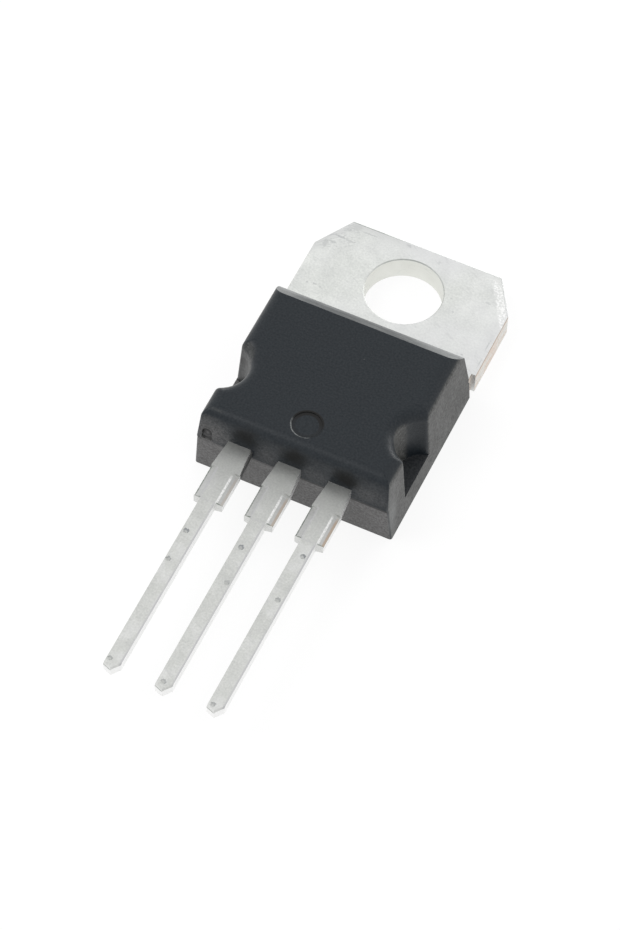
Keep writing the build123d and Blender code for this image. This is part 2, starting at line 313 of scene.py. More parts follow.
# moulded body: dark epoxy filled with mineral powder, from a mould with an eroded surface
mouldLook = {
    "frontColour": (0.0040, 0.0082, 0.0125, 1), "frontPaleColour": (0.0165, 0.0215, 0.0265, 1),
    "sideColour": (0.014, 0.015, 0.014, 1), "sidePaleColour": (0.134, 0.135, 0.131, 1),
    "lowerColour": (0.066, 0.064, 0.063, 1), "lowerPaleColour": (0.166, 0.164, 0.164, 1),
    # the first colour below is painted shade and painted reflection: over the leads, in the index pocket,
    # under the parting step and on the ejector mark's wall
    "paintedShadeColour": (0.003, 0.003, 0.003, 1), "brownColour": (0.055, 0.040, 0.028, 1),
    "paleWearAndHighlightColour": (0.30, 0.31, 0.31, 1),
    "specular": 0.30, "roughness": 0.40, "sideRoughness": 0.48, "roughnessSpread": 0.12,
    "fineSize": 0.10, "coarseSize": 0.17, "broadSize": 1.1, "textureDepth": 0.00001, "textureStrength": 0.30,
    "partingZ": 2.5, "partingLine": 0.20,
    # how much shows on the notch walls, right corner, sides near the leads and all edges, and of the grains
    "notchWalls": 0.55, "corner": 0.32, "nearLeads": 0.12, "edges": 0.16, "grains": 0.35,
    # where a tone fades in, from and to, then how much of it shows at each
    "leftHalfX": (-3.2, -4.2, 0.08, 0.30), "ledgeX": (1.0, -1.0, 0.22, 1.0), "ledgeZ": (3.4, 3.2),
    "partingX": (-2.5, 1.0, 0.35, 0.90), "notchX": (-3.6, -3.9), "leftEdgeX": (-4.45, -4.85),
    "leftEdgeZ": (3.0, 3.8),
    "cornerCentre": (4.75, -12.3, 1.4), "cornerReach": (0.6, 0.9, 2.0),
    # painted pale reflections on the lead-end face: x, z, reach, strength
    "paleReflections": (
        (-4.3, 3.1, (1.7, 0.6, 1.3), 0.62), (3.9, 3.1, (1.2, 0.5, 0.75), 0.30),
        (-1.3, 3.1, (0.80, 0.5, 0.85), 0.27), (1.2, 3.0, (0.8, 0.5, 0.75), 0.23),
    ),
    # painted reflections of the dark lead roots over the leads: x, z, reach, strength
    "leadRootReflections": (
        (-2.45, 3.72, (0.95, 0.7, 0.75), 0.85), (0.05, 3.66, (0.95, 0.7, 0.75), 0.9),
        (2.65, 3.58, (0.95, 0.7, 0.72), 0.95),
    ),
    "pocket": {"x": -4.33, "z": 2.93, "inside": 0.0, "outside": 0.17},
    "ring": {"y": -11.03, "radius": 0.72, "worn": 0.65},
    "bevel": {
        "low": -4.74, "high": -3.90, "base": 3.60,
        "lipY": (-4.35, -4.0), "middleX": -0.6, "endsX": (1.5, 5.2),
        "plain": 0.05, "farLip": 0.35, "ends": 0.50, "streaks": 0.20,  # how pale it is, and where more so
    },
}


def makeMouldFinish(look):
    shine = {"IOR": 1.5, "Specular IOR Level": look["specular"]}
    material, tree, shader, space = newFinish("mouldCompound", shine)
    point, x, y, z, faceX, faceY, faceZ = space.outputs
    leadEndY, partingZ = sizes["leadEndY"], look["partingZ"]
    fine = mottled(tree, point, look["fineSize"], 2.0, 2.6)
    coarse = mottled(tree, point, look["coarseSize"], 3.0, 2.8)
    broad = mottled(tree, point, look["broadSize"], 3.0, 2.0)
    side = stretch(tree, calc(tree, "ABSOLUTE", faceX), 0.80, 0.96)
    nearWall = stretch(tree, y, leadEndY + 0.65, leadEndY + 0.45)
    leadEnd = times(tree, stretch(tree, faceY, -0.80, -0.95), nearWall)
    facet = times(tree, leadEnd, stretch(tree, z, partingZ - 0.02, partingZ + 0.02))
    lower = calc(tree, "SUBTRACT", leadEnd, facet, clamp=True)

    # the front dark, the walls paler and grainier
    sideGrain = times(tree, calc(tree, "ADD", fine, coarse), 0.5)
    sideTone = mixColour(tree, sideGrain, look["sideColour"], look["sidePaleColour"])
    lowerTone = mixColour(tree, fine, look["lowerColour"], look["lowerPaleColour"])
    colour = mixColour(tree, fine, look["frontColour"], look["frontPaleColour"])
    colour = paint(tree, colour, sideTone, side)
    colour = paint(tree, colour, lowerTone, lower)
    # the facet paler towards its left end, a painted reflection
    colour = paint(tree, colour, lowerTone, facet, stretch(tree, x, *look["leftHalfX"]))
    notchWall = stretch(tree, y, leadEndY + 0.45, leadEndY + 0.65)
    notchWall = times(tree, notchWall, stretch(tree, x, *look["notchX"]))
    upright = stretch(tree, calc(tree, "ABSOLUTE", faceY), 0.25, 0.5)
    colour = paint(tree, colour, sideTone, notchWall, upright, look["notchWalls"])
    ledges = times(tree, stretch(tree, faceZ, 0.8, 0.95), stretch(tree, z, *look["ledgeZ"]))
    colour = paint(tree, colour, lowerTone, ledges, stretch(tree, x, *look["ledgeX"]))

    # painted highlight on the right corner, sides near the leads paler, brown left edge, painted pale
    # reflections on the lead end
    corner = patch(tree, point, look["cornerCentre"], look["cornerReach"], soft=0.8, ragged=0.4, size=0.4)
    colour = paint(tree, colour, look["paleWearAndHighlightColour"], corner, stretch(tree, faceX, 0.25, 0.5), look["corner"])
    nearLeads = stretch(tree, y, leadEndY + 1.65, leadEndY + 0.25)
    colour = paint(tree, colour, look["paleWearAndHighlightColour"], side, nearLeads, look["nearLeads"])
    leftEdge = times(tree, stretch(tree, x, *look["leftEdgeX"]), stretch(tree, z, *look["leftEdgeZ"]))
    leftEdge = times(tree, leftEdge, stretch(tree, y, leadEndY + 0.45, leadEndY + 0.75))
    colour = paint(tree, colour, look["brownColour"], leftEdge, stretch(tree, coarse, 0.35, 0.75, 0.0, 0.5))
    # painted pale reflections between and beside the leads
    for markX, markZ, reach, strength in look["paleReflections"]:
        paleReflection = patch(tree, point, (markX, leadEndY + 0.05, markZ), reach, soft=0.9, ragged=0.5, size=0.5)
        colour = paint(tree, colour, lowerTone, paleReflection, facet, strength)

    colour = wearAndSheenBevel(tree, look, space, colour)
    colour = paintBodyShade(tree, look, space, colour, leadEnd)
    colour, nearRing = markEjector(tree, look, space, colour, coarse)

    # corners rubbed paler, and a few bright mineral grains
    rubs = place(tree, edgeWear, Point=point, Breakup=0.35, Amount=look["edges"]).outputs["Mask"]
    colour = paint(tree, colour, look["paleWearAndHighlightColour"], rubs, calc(tree, "SUBTRACT", 1.0, nearRing))
    grains = place(tree, specks, Point=point, Spacing=0.75, Radius=0.035, Share=0.10).outputs["Mask"]
    colour = paint(tree, colour, look["paleWearAndHighlightColour"], grains, look["grains"])
    feed(tree, shader.inputs["Base Color"], colour)

    rough = stretch(tree, side, 0.0, 1.0, look["roughness"], look["sideRoughness"], smooth=False)
    rough = calc(tree, "MULTIPLY_ADD", calc(tree, "SUBTRACT", broad, 0.5), look["roughnessSpread"], rough)
    feed(tree, shader.inputs["Roughness"], rough)
    finishBump(tree, shader, fine, look["textureStrength"], look["textureDepth"])
    return material


def wearAndSheenBevel(tree, look, space, colour):
    # pale streaks along the bevel, palest at its ends and its far lip: partly rubbed wear, partly a painted
    # highlight of the back lamp
    bevel = look["bevel"]
    point, x, y, z, _, faceY, _ = space.outputs
    onBevel = within(tree, y, bevel["low"], bevel["high"], soft=0.06)
    onBevel = times(tree, onBevel, stretch(tree, faceY, 0.45, 0.60))
    onBevel = times(tree, onBevel, stretch(tree, z, bevel["base"], bevel["base"] + 0.05))
    streaks = scored(tree, point, spacing=0.35, length=9.0, width=0.12, share=0.7)
    fromMiddle = calc(tree, "ABSOLUTE", calc(tree, "SUBTRACT", x, bevel["middleX"]))
    ends = stretch(tree, fromMiddle, *bevel["endsX"])
    farLip = stretch(tree, y, *bevel["lipY"])
    wornAndSheen = calc(tree, "MULTIPLY_ADD", farLip, bevel["farLip"], bevel["plain"])
    wornAndSheen = calc(tree, "MULTIPLY_ADD", ends, bevel["ends"], wornAndSheen)
    wornAndSheen = calc(tree, "MULTIPLY_ADD", streaks, bevel["streaks"], wornAndSheen)
    wornAndSheen = calc(tree, "MULTIPLY", wornAndSheen, onBevel, clamp=True)
    return paint(tree, colour, look["paleWearAndHighlightColour"], wornAndSheen)


def paintBodyShade(tree, look, space, colour, leadEnd):
    # painted shade: reflections of the dark lead roots over the leads, shadow in the index pocket and under
    # the parting step
    point, x, y, z, _, faceY, _ = space.outputs
    leadEndY, partingZ = sizes["leadEndY"], look["partingZ"]
    for markX, markZ, reach, strength in look["leadRootReflections"]:
        rootReflection = patch(tree, point, (markX, leadEndY + 0.15, markZ), reach, soft=0.8, ragged=0.35, size=0.35)
        colour = paint(tree, colour, look["paintedShadeColour"], rootReflection, strength)
    pocket = look["pocket"]
    fromX = calc(tree, "SUBTRACT", x, pocket["x"])
    fromZ = calc(tree, "SUBTRACT", z, pocket["z"])
    around = diagonal(tree, fromX, fromZ)
    sunk = times(tree, stretch(tree, y, leadEndY + 0.12, leadEndY + 0.14), stretch(tree, faceY, -0.5, -0.8))
    # painted shadow under the index pocket's arched top
    crescent = stretch(tree, around, pocket["inside"], pocket["outside"])
    crescent = times(tree, crescent, stretch(tree, fromZ, -0.35, 0.0), sunk)
    colour = paint(tree, colour, look["paintedShadeColour"], crescent, stretch(tree, around, 0.5, 0.4))
    # painted shadow line under the parting step
    stepShadow = within(tree, z, partingZ - look["partingLine"], partingZ, soft=0.02)
    stepShadow = times(tree, stepShadow, leadEnd, stretch(tree, x, *look["partingX"]))
    return paint(tree, colour, look["paintedShadeColour"], stepShadow)


def markEjector(tree, look, space, colour, coarse):
    # ejector mark: a worn arc towards the leads, painted shade on the wall across from it
    ring = look["ring"]
    x, y, z = (space.outputs[name] for name in "XYZ")
    radius = ring["radius"]
    fromY = calc(tree, "SUBTRACT", y, ring["y"])
    around = diagonal(tree, x, fromY)
    nearTop = stretch(tree, z, sizes["frontZ"] - 0.15, sizes["frontZ"] - 0.10)
    lip = within(tree, around, radius + 0.01, radius + 0.05, soft=0.03)
    towardsLeads = stretch(tree, calc(tree, "MULTIPLY_ADD", x, 0.6, fromY), -0.30, -0.62)
    worn = times(tree, lip, towardsLeads, stretch(tree, coarse, 0.25, 0.6, 0.3, 1.0))
    wall = within(tree, around, radius - 0.15, radius + 0.05, soft=0.04)
    shadow = times(tree, wall, stretch(tree, fromY, -0.15, 0.35, 0.35, 1.0))
    colour = paint(tree, colour, look["paintedShadeColour"], shadow, nearTop)
    colour = paint(tree, colour, look["paleWearAndHighlightColour"], worn, nearTop, ring["worn"])
    nearRing = times(tree, stretch(tree, around, radius + 0.3, radius + 0.2), nearTop)
    return colour, nearRing


# tab and leads: satin tin plating, sheared bare at the tab's sides
tinLook = {
    "colour": (0.760, 0.773, 0.748, 1), "darkColour": (0.585, 0.600, 0.582, 1),
    "leadColour": (0.684, 0.691, 0.668, 1), "leadDarkColour": (0.500, 0.510, 0.492, 1),
    "coolColour": (0.690, 0.690, 0.705, 1), "holeColour": (0.825, 0.832, 0.790, 1),
    # the third colour below darkens the leads near the body, a painted reflection of the dark body and
    # painted shade
    "bodyReflectionColour": (0.16, 0.165, 0.160, 1), "lineColour": (0.16, 0.19, 0.16, 1),
    "scratchColour": (0.33, 0.34, 0.35, 1), "rubbedColour": (0.50, 0.50, 0.51, 1),
    "brightColour": (0.95, 0.95, 0.945, 1), "brownColour": (0.46, 0.37, 0.29, 1),
    "shearedColour": (0.76, 0.66, 0.58, 1), "shearedDarkColour": (0.36, 0.25, 0.17, 1),
    "roughness": 0.50, "roughnessSpread": 0.10, "dentRoughness": 0.25,
    "satinSize": 0.10, "cloudSize": 0.9, "coolSize": 3.2, "textureDepth": 0.000008, "textureStrength": 0.3,
    "plateFront": 1.28, "clipAcross": 1.17, "clipAlong": 1.95, "narrowHalf": 0.375,
    # wide parts of the leads: where they start and end, half width, width of the sloped edges
    "wide": {"start": -14.07, "end": -15.93, "half": 0.715, "slope": 0.32},
    # where a tone fades in, from and to, then how much of it shows at each
    "brownX": (-2.0, 2.6, 0.30, 0.85), "farEdgeX": (-0.5, -2.6, 0.15, 0.9), "rimY": (0.2, 1.6, 0.0, 0.42),
    "greyedX": (1.5, -3.0), "reflectionRun": 4.1, "rootShadeRun": 0.9,
    # distances from the right clipped corner's edge: bright scuffs, grey edge
    "scuffs": (-0.42, -0.12), "edgeGrey": (-0.12, -0.03),
    "scratchedCentre": (-4.3, 1.7, 1.28), "scratchedReach": (1.4, 1.5, 0.5),
    # how much shows
    "cool": 0.40, "brushed": 0.16, "dull": 0.34, "outerSlope": 0.35, "crease": 0.30, "sheerAndHighlight": 0.9,
    "tips": 0.9, "greyed": 0.50, "oblique": 0.45, "faint": 0.14, "greyEdge": 0.45, "tabSides": 0.9,
    "breakLine": 0.7,
    # contact dents: x, y, strength
    "dents": (
        (-2.82, -17.84, 1.0), (-2.88, -19.55, 0.7), (-2.88, -25.37, 0.5),
        (-0.19, -17.57, 1.0), (0.05, -19.55, 0.5), (-0.21, -25.43, 0.5),
        (2.53, -16.80, 1.0), (2.51, -19.38, 0.6), (2.26, -25.53, 0.5),
    ),
    # rubbed marks on the tab: x, y, reach across, reach along, strength
    "marks": (
        (-3.58, 2.50, 0.34, 0.35, 0.24), (-4.60, 1.02, 0.20, 0.36, 0.30), (-4.35, 1.22, 0.30, 0.10, 0.35),
        (-4.07, 1.67, 0.48, 0.09, 0.40), (-3.55, 1.62, 0.30, 0.07, 0.30), (-2.85, 2.41, 0.60, 0.06, 0.35),
        (-3.9, 2.2, 0.35, 0.07, 0.25), (-0.9, 2.60, 0.20, 0.12, 0.30), (-4.05, -1.45, 0.16, 0.07, 0.45),
        (-4.4, -1.50, 0.10, 0.08, 0.40), (-3.7, -1.52, 0.12, 0.06, 0.35), (2.6, -0.1, 0.10, 0.08, 0.25),
        (2.2, 0.6, 0.12, 0.07, 0.25), (3.9, 1.1, 0.22, 0.07, 0.25), (0.8, 2.3, 0.16, 0.12, 0.20),
        (4.47, -2.93, 0.13, 0.12, 1.0), (4.0, -2.2, 0.08, 0.06, 0.4), (4.9, -1.2, 0.05, 0.5, 0.35),
        (4.95, -2.3, 0.05, 0.4, 0.35),
    ),
}


# masks that more than one part of the plating uses
def facesFront(tree, faceZ):
    return stretch(tree, faceZ, 0.80, 0.95)


def facesSide(tree, faceX):
    return stretch(tree, calc(tree, "ABSOLUTE", faceX), 0.75, 0.95)


def beyondBody(tree, y):
    return stretch(tree, y, sizes["leadEndY"] + 0.4, sizes["leadEndY"])


def makeTinFinish(look):
    material, tree, shader, space = newFinish("tinPlating", {"Metallic": 1.0})
    point, y = space.outputs["Point"], space.outputs["Y"]
    satin = mottled(tree, point, look["satinSize"], 3.0, 2.7)
    cloud = mottled(tree, point, look["cloudSize"], 4.0, 2.6)
    mottle = calc(tree, "MULTIPLY_ADD", cloud, 0.45, times(tree, satin, 0.55))
    onLeads = beyondBody(tree, y)

    # the tab bright with cool patches, the leads greyer and brushed along
    tabTone = mixColour(tree, mottle, look["darkColour"], look["colour"])
    cool = calc(tree, "MAXIMUM", mottled(tree, point, look["coolSize"], 2.0, 4.0), 0.0)
    cool = calc(tree, "MULTIPLY", cool, look["cool"], clamp=True)
    tabTone = paint(tree, tabTone, look["coolColour"], cool)
    leadTone = mixColour(tree, mottle, look["leadDarkColour"], look["leadColour"])
    leadTone = paint(tree, leadTone, look["coolColour"], stretch(tree, cloud, 0.45, 0.9, 0.0, 0.22))
    colour = mixColour(tree, onLeads, tabTone, leadTone)
    brushed = scored(tree, point, spacing=0.12, length=7.0, width=0.12, share=1.0, turn=90)
    colour = paint(tree, colour, look["rubbedColour"], brushed, onLeads, look["brushed"])

    # painted reflection of the dark body and painted shade, darkest where the leads leave the body
    out = calc(tree, "SUBTRACT", sizes["leadEndY"], y)
    bodyReflection = times(tree, stretch(tree, out, look["rootShadeRun"], 0.0), 0.30)
    bodyReflection = calc(tree, "MULTIPLY_ADD", stretch(tree, out, look["reflectionRun"], 0.0), 0.75, bodyReflection)
    bodyReflection = calc(tree, "MULTIPLY", bodyReflection, calc(tree, "MULTIPLY_ADD", cloud, 0.3, 0.50), clamp=True)
    colour = paint(tree, colour, look["bodyReflectionColour"], bodyReflection, onLeads)

    colour = finishLeads(tree, look, space, colour, satin, cloud)
    colour = lineEdges(tree, look, space, colour, cloud)
    colour = wearTab(tree, look, space, colour, mottle)
    colour = shearSides(tree, look, space, colour, satin)
    colour, dented = markDents(tree, look, space, colour)
    feed(tree, shader.inputs["Base Color"], colour)
    rough = calc(tree, "SUBTRACT", cloud, 0.5)
    rough = calc(tree, "MULTIPLY_ADD", rough, look["roughnessSpread"], look["roughness"])
    feed(tree, shader.inputs["Roughness"], calc(tree, "MULTIPLY_ADD", dented, look["dentRoughness"], rough))
    finishBump(tree, shader, satin, look["textureStrength"], look["textureDepth"])
    return material


def finishLeads(tree, look, space, colour, satin, cloud):
    _, x, y, z, faceX, faceY, faceZ = space.outputs
    start, end, half = (look["wide"][name] for name in ("start", "end", "half"))
    inner = half - look["wide"]["slope"]
    centred = calc(tree, "SUBTRACT", x, sizes["leadRow"])
    fromLead = calc(tree, "WRAP", centred, sizes["pitch"] / 2, -sizes["pitch"] / 2)
    offLead = calc(tree, "ABSOLUTE", fromLead)
    notSide = stretch(tree, faceZ, 0.3, 0.6)
    along = times(tree, within(tree, y, end, start, soft=0.03), notSide)

    # sloped edges of the wide parts: dull on the left, a painted highlight along the ridge and brown outside
    # on the right
    dull = stretch(tree, fromLead, -inner + 0.06, -inner - 0.03)
    growing = stretch(tree, y, start, start - 0.9, 0.25, 1.0)
    colour = paint(tree, colour, look["rubbedColour"], dull, along, growing, look["dull"])
    fold = within(tree, fromLead, -inner - 0.03, -inner + 0.03, soft=0.05)
    fold = times(tree, fold, stretch(tree, cloud, 0.1, 0.8, 0.25, 0.7))
    colour = paint(tree, colour, look["rubbedColour"], fold, along)
    fadeIn = times(tree, along, stretch(tree, y, start, start - 0.45))
    # painted highlight along the ridge
    ridge = within(tree, fromLead, inner - 0.01, inner + 0.04, soft=0.05)
    ridge = times(tree, ridge, stretch(tree, satin, 0.0, 0.8, 0.35, 0.8))
    colour = paint(tree, colour, look["brightColour"], ridge, fadeIn)
    outer = stretch(tree, fromLead, inner + 0.05, inner + 0.12)
    colour = paint(tree, colour, look["rubbedColour"], outer, fadeIn, look["outerSlope"])
    outside = within(tree, fromLead, half - 0.09, half - 0.02, soft=0.05)
    outside = times(tree, outside, stretch(tree, x, *look["brownX"]))
    colour = paint(tree, colour, look["brownColour"], outside, fadeIn)

    # dark lines along the left edge and the end, duller ones where the wide part stops and down the right
    leftLine = within(tree, fromLead, -half, -half + 0.04, soft=0.04)
    endLine = within(tree, y, end, end + 0.05, soft=0.04)
    endLine = times(tree, endLine, stretch(tree, offLead, 0.38, 0.42))
    jagged = times(tree, calc(tree, "MAXIMUM", leftLine, endLine), stretch(tree, satin, 0.2, 0.7, 0.25, 0.9))
    colour = paint(tree, colour, look["lineColour"], jagged, along)
    crease = within(tree, y, end - 0.03, end + 0.03, soft=0.04)
    crease = times(tree, crease, stretch(tree, offLead, 0.45, 0.38))
    colour = paint(tree, colour, look["rubbedColour"], crease, facesFront(tree, faceZ), look["crease"])
    rightLine = within(tree, fromLead, look["narrowHalf"] - 0.06, look["narrowHalf"], soft=0.04)
    rightLine = times(tree, rightLine, notSide, stretch(tree, y, end + 0.05, end - 0.1))
    colour = paint(tree, colour, look["rubbedColour"], rightLine, stretch(tree, cloud, 0.1, 0.8, 0.45, 0.95))

    # bright sheared faces: the sides bare sheared metal, and on the wide parts' ends a painted highlight
    ends = stretch(tree, y, start - 0.3, start - 0.2, 0.40, 0.62)
    ends = times(tree, ends, stretch(tree, faceY, -0.5, -0.8))
    sheerAndHighlight = calc(tree, "MAXIMUM", facesSide(tree, faceX), ends)
    colour = paint(tree, colour, look["brightColour"], sheerAndHighlight, beyondBody(tree, y), look["sheerAndHighlight"])

    # cut tips: bright faces with a dark line where they were pinched off
    tip = stretch(tree, y, sizes["tipY"] + 0.73, sizes["tipY"] + 0.58)
    tip = times(tree, tip, stretch(tree, faceZ, 0.6, 0.4))
    colour = paint(tree, colour, look["brightColour"], tip, look["tips"])
    pinched = stretch(tree, z, sizes["leadTop"] - 0.16, sizes["leadTop"] - 0.08)
    pinched = times(tree, tip, pinched, stretch(tree, fromLead, 0.12, -0.05))
    return paint(tree, colour, look["lineColour"], pinched, stretch(tree, satin, 0.0, 0.5, 0.5, 1.0))


def lineEdges(tree, look, space, colour, cloud):
    # thin dark lines along the tab's far edge (a painted dark reflection on its rolled edge) and the hole's
    # far rim, and the hole's paler wall
    x, y, faceZ = (space.outputs[name] for name in ("X", "Y", "FaceZ"))
    tabEnd, holeRadius = sizes["tabEnd"], sizes["holeRadius"]
    fromHole = diagonal(tree, x, y)
    farEdge = within(tree, y, tabEnd - 0.05, tabEnd + 0.2, soft=0.03)
    farEdge = times(tree, farEdge, stretch(tree, x, *look["farEdgeX"]))
    rim = within(tree, fromHole, holeRadius, holeRadius + 0.035, soft=0.02)
    rim = times(tree, rim, stretch(tree, y, *look["rimY"]))
    lines = times(tree, calc(tree, "MAXIMUM", farEdge, rim), stretch(tree, cloud, 0.1, 0.7, 0.6, 1.0))
    colour = paint(tree, colour, look["lineColour"], lines, stretch(tree, faceZ, 0.4, 0.6))
    inHole = stretch(tree, fromHole, holeRadius + 0.03, holeRadius + 0.01)
    return paint(tree, colour, look["holeColour"], inHole, stretch(tree, faceZ, 0.5, 0.3))


def clipDistance(tree, look, x, y, side):
    # distance outside a clipped corner's edge, negative on the tab; side -1 is the left corner
    across, along = look["clipAcross"], look["clipAlong"]
    length = hypot(across, along)
    fromSide = calc(tree, "SUBTRACT", times(tree, x, side), sizes["halfWidth"])
    fromEnd = calc(tree, "SUBTRACT", y, sizes["tabEnd"] - along)
    return calc(tree, "ADD", times(tree, fromSide, along / length), times(tree, fromEnd, across / length))


def wearTab(tree, look, space, colour, mottle):
    # clipped corners and the far edge rubbed grey, with fine oblique scratches
    point, x, y, faceZ = (space.outputs[name] for name in ("Point", "X", "Y", "FaceZ"))
    tabEnd = sizes["tabEnd"]
    flat = facesFront(tree, faceZ)
    leftClip = clipDistance(tree, look, x, y, -1)
    rightClip = clipDistance(tree, look, x, y, 1)
    farLeft = times(tree, stretch(tree, y, tabEnd - 0.7, tabEnd), stretch(tree, x, *look["greyedX"]))
    greyed = calc(tree, "MAXIMUM", stretch(tree, leftClip, -0.6, 0.0), farLeft)
    greyed = times(tree, greyed, stretch(tree, mottle, 0.25, 0.75, 0.25, 1.0))
    colour = paint(tree, colour, look["rubbedColour"], greyed, flat, look["greyed"])
    for markX, markY, reachX, reachY, strength in look["marks"]:
        centre, reach = (markX, markY, look["plateFront"]), (reachX, reachY, 0.3)
        mark = patch(tree, point, centre, reach, soft=0.7, ragged=0.8, size=0.10)
        colour = paint(tree, colour, look["scratchColour"], mark, strength)
    oblique = scored(tree, point, spacing=0.13, length=9.0, width=0.035, share=1.0, turn=-38)
    centre, reach = look["scratchedCentre"], look["scratchedReach"]
    scratched = patch(tree, point, centre, reach, soft=0.7, ragged=0.3, size=0.6)
    colour = paint(tree, colour, look["scratchColour"], oblique, scratched, look["oblique"])
    faint = scored(tree, point, spacing=0.4, length=10.0, width=0.02, share=0.6, turn=25)
    colour = paint(tree, colour, look["scratchColour"], faint, look["faint"])

    # bright scuffs inside the right clipped corner, grey along its very edge
    scuffed = within(tree, rightClip, *look["scuffs"], soft=0.14)
    scuffed = times(tree, scuffed, stretch(tree, y, tabEnd - 0.04, tabEnd - 0.59))
    rough = mottled(tree, point, 0.09, 3.0, 3.2)
    scuffs = times(tree, scuffed, stretch(tree, rough, 0.25, 0.95, 0.10, 0.72))
    colour = paint(tree, colour, look["brightColour"], scuffs, flat)
    greyEdge = stretch(tree, rightClip, *look["edgeGrey"])
    return paint(tree, colour, look["rubbedColour"], greyEdge, flat, look["greyEdge"])


def shearSides(tree, look, space, colour, satin):
    # the tab's sheared sides: pinkish copper smeared over with tin, dark at the break
    point, x, _, z, faceX, _, _ = space.outputs
    outermost = stretch(tree, calc(tree, "ABSOLUTE", x), sizes["halfWidth"] - 0.3, sizes["halfWidth"] - 0.2)
    tabSide = times(tree, facesSide(tree, faceX), outermost)
    smear = scored(tree, point, spacing=0.3, length=6.0, width=0.14, share=0.8, turn=90)
    tone = mixColour(tree, smear, look["shearedColour"], look["colour"])
    tone = paint(tree, tone, look["shearedDarkColour"], stretch(tree, satin, 0.55, 0.95, 0.0, 0.40))
    colour = paint(tree, colour, tone, tabSide, look["tabSides"])
    breakLine = within(tree, z, look["plateFront"] - 0.12, look["plateFront"] - 0.04, soft=0.04)
    return paint(tree, colour, look["shearedDarkColour"], breakLine, tabSide, look["breakLine"])


def markDents(tree, look, space, colour):
    # dirt round the dents of the test contacts, clean in the middle
    point, top = space.outputs["Point"], sizes["leadTop"]
    dented = 0.0
    for dentX, dentY, strength in look["dents"]:
        centre, cleanCentre = (dentX, dentY, top), (dentX - 0.03, dentY - 0.11, top)
        whole = patch(tree, point, centre, (0.155, 0.16, 0.3), soft=0.30, ragged=0.45, size=0.09)
        middle = patch(tree, point, cleanCentre, (0.14, 0.20, 0.3), soft=0.30, ragged=0.4, size=0.08)
        outline = calc(tree, "SUBTRACT", whole, times(tree, middle, 0.8), clamp=True)
        colour = paint(tree, colour, look["scratchColour"], outline, strength)
        dented = calc(tree, "MAXIMUM", whole, dented)
    return colour, dented


# inside the body: the chip's solder, the chip itself and its wires
solderLook = {
    "colour": (0.44, 0.44, 0.46, 1), "darkColour": (0.30, 0.30, 0.33, 1), "grainSize": 0.25,
    "roughness": 0.24, "roughnessSpread": 0.2, "textureDepth": 0.00002, "textureStrength": 0.4,
}


def makeSolderFinish(look):
    material, tree, shader, space = newFinish("dieSolder", {"Metallic": 1.0})
    crystals = mottled(tree, space.outputs["Point"], look["grainSize"], 4.0, 2.2)
    feed(tree, shader.inputs["Base Color"], mixColour(tree, crystals, look["darkColour"], look["colour"]))
    rough = calc(tree, "MULTIPLY_ADD", crystals, look["roughnessSpread"], look["roughness"])
    feed(tree, shader.inputs["Roughness"], rough)
    finishBump(tree, shader, crystals, look["textureStrength"], look["textureDepth"])
    return material


siliconLook = {
    "colour": (0.10, 0.11, 0.14, 1), "darkColour": (0.06, 0.065, 0.085, 1),
    "metalColour": (0.62, 0.61, 0.60, 1), "cellColour": (0.35, 0.35, 0.36, 1),
    "topZ": 1.60, "cellSize": 0.06, "roughness": 0.18, "roughnessSpread": 0.3,
    "textureDepth": 0.000005, "textureStrength": 0.2,
}


def makeSiliconFinish(look):
    # the top carries aluminium over rows of cells, the sawn sides are bare silicon
    material, tree, shader, space = newFinish("chipSilicon", {})
    point, z, faceZ = (space.outputs[name] for name in ("Point", "Z", "FaceZ"))
    top = times(tree, stretch(tree, z, look["topZ"] - 0.02, look["topZ"]), stretch(tree, faceZ, 0.7, 0.9))
    wave = addNode(tree, "ShaderNodeTexWave", wave_type="BANDS", bands_direction="X")
    feed(tree, wave.inputs["Vector"], point)
    feed(tree, wave.inputs["Scale"], 0.31 / look["cellSize"])
    cells = stretch(tree, wave.outputs["Fac"], 0.3, 0.7, 0.75, 1.0)
    metal = mixColour(tree, cells, look["cellColour"], look["metalColour"])
    sawn = mottled(tree, point, 0.08, 3.0, 2.0)
    bare = mixColour(tree, sawn, look["darkColour"], look["colour"])
    feed(tree, shader.inputs["Base Color"], mixColour(tree, top, bare, metal))
    feed(tree, shader.inputs["Metallic"], top)
    rough = calc(tree, "MULTIPLY_ADD", sawn, look["roughnessSpread"], look["roughness"])
    feed(tree, shader.inputs["Roughness"], rough)
    finishBump(tree, shader, cells, look["textureStrength"], look["textureDepth"])
    return material


wireLook = {
    "colour": (0.82, 0.82, 0.83, 1), "drawnColour": (0.66, 0.66, 0.68, 1), "drawnSize": 0.05,
    "roughness": 0.30, "roughnessSpread": 0.15, "textureDepth": 0.000005, "textureStrength": 0.2,
}


def makeWireFinish(look):
    material, tree, shader, space = newFinish("bondWireAluminium", {"Metallic": 1.0})
    point = space.outputs["Point"]
    drawn = scored(tree, point, spacing=look["drawnSize"], length=8.0, width=0.2, share=1.0, turn=90)
    soft = mottled(tree, point, 0.2, 2.0, 2.0)
    feed(tree, shader.inputs["Base Color"], paint(tree, look["colour"], look["drawnColour"], drawn, soft))
    rough = calc(tree, "MULTIPLY_ADD", soft, look["roughnessSpread"], look["roughness"])
    feed(tree, shader.inputs["Roughness"], rough)
    finishBump(tree, shader, drawn, look["textureStrength"], look["textureDepth"])
    return material


finishes = {
    "mould_compound": makeMouldFinish(mouldLook), "tin_plating": makeTinFinish(tinLook),
    "solder": makeSolderFinish(solderLook), "silicon": makeSiliconFinish(siliconLook),
    "bond_wire": makeWireFinish(wireLook),
}
for node in nodes.values():
    for slot in node.material_slots:
        slot.material = finishes[slot.material.name.split(".")[0]]
print("finishes made:", len(finishes))


